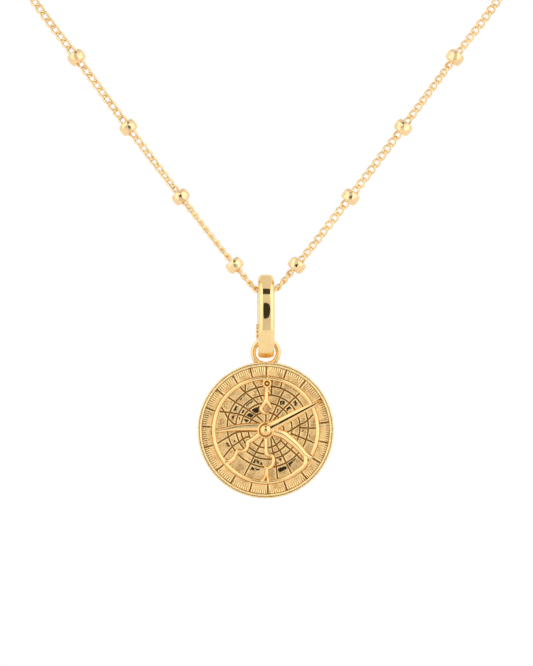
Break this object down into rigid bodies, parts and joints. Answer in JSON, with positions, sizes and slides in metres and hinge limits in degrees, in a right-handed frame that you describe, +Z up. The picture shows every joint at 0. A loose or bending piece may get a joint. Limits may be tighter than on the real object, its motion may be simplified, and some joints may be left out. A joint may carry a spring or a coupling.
{
  "type": "pendant necklace with an instrument face medallion",
  "caption": "Fine bead and link chain with a hinged snap bail that holds a cast round medallion with a raised instrument face, worn round the neck.",
  "frame": {"origin": "middle of the clasp, at the nape of the neck, from which the necklace hangs", "axes": "+Z up, the medallion's face looks towards -Y, +X to the right as the face is seen from the front"},
  "size_m": [0.1266, 0.1011, 0.1516],
  "materials": {
    "medallion": "sandblasted ground with polished raised work",
    "bail": "polished",
    "pin": "polished",
    "chain": "polished links",
    "bead": "polished facets",
    "clasp": "polished"
  },
  "bodies": {
    "necklace": {"chain": "chain", "clasp": "clasp", "bead_01": "bead", "bead_02": "bead", "bead_03": "bead", "bead_04": "bead", "bead_05": "bead", "bead_06": "bead", "bead_07": "bead", "bead_08": "bead", "bead_09": "bead", "bead_10": "bead", "bead_11": "bead", "bead_12": "bead", "bead_13": "bead", "bead_14": "bead", "bead_15": "bead", "bead_16": "bead", "bead_17": "bead", "bead_18": "bead", "bead_19": "bead", "bead_20": "bead", "bead_21": "bead", "bead_22": "bead", "bead_23": "bead", "bead_24": "bead", "bead_25": "bead", "bead_26": "bead", "bead_27": "bead", "bead_28": "bead", "bead_29": "bead", "bead_30": "bead", "bead_31": "bead", "bead_32": "bead", "bead_33": "bead", "bead_34": "bead"},
    "bail_body": {"bail": "bail", "bail_pin": "pin"},
    "gate": {"bail_gate": "bail"},
    "medallion": {"disc": "medallion"}
  },
  "joints": [
    {"name": "bail_swing", "type": "hinge", "parent": "necklace", "child": "bail_body", "pos_m": [0, -0.096, -0.12], "axis": [1, 0, 0], "range_deg": [-60, 60]},
    {"name": "gate_hinge", "type": "hinge", "parent": "bail_body", "child": "gate", "pos_m": [-0.00013, -0.09356, -0.12552], "axis": [-0.9986, -0.0523, 0], "range_deg": [0, 60]},
    {"name": "medallion_swing", "type": "hinge", "parent": "bail_body", "child": "medallion", "pos_m": [0, -0.096, -0.12857], "axis": [0, 1, 0], "range_deg": [-50, 50]}
  ]
}
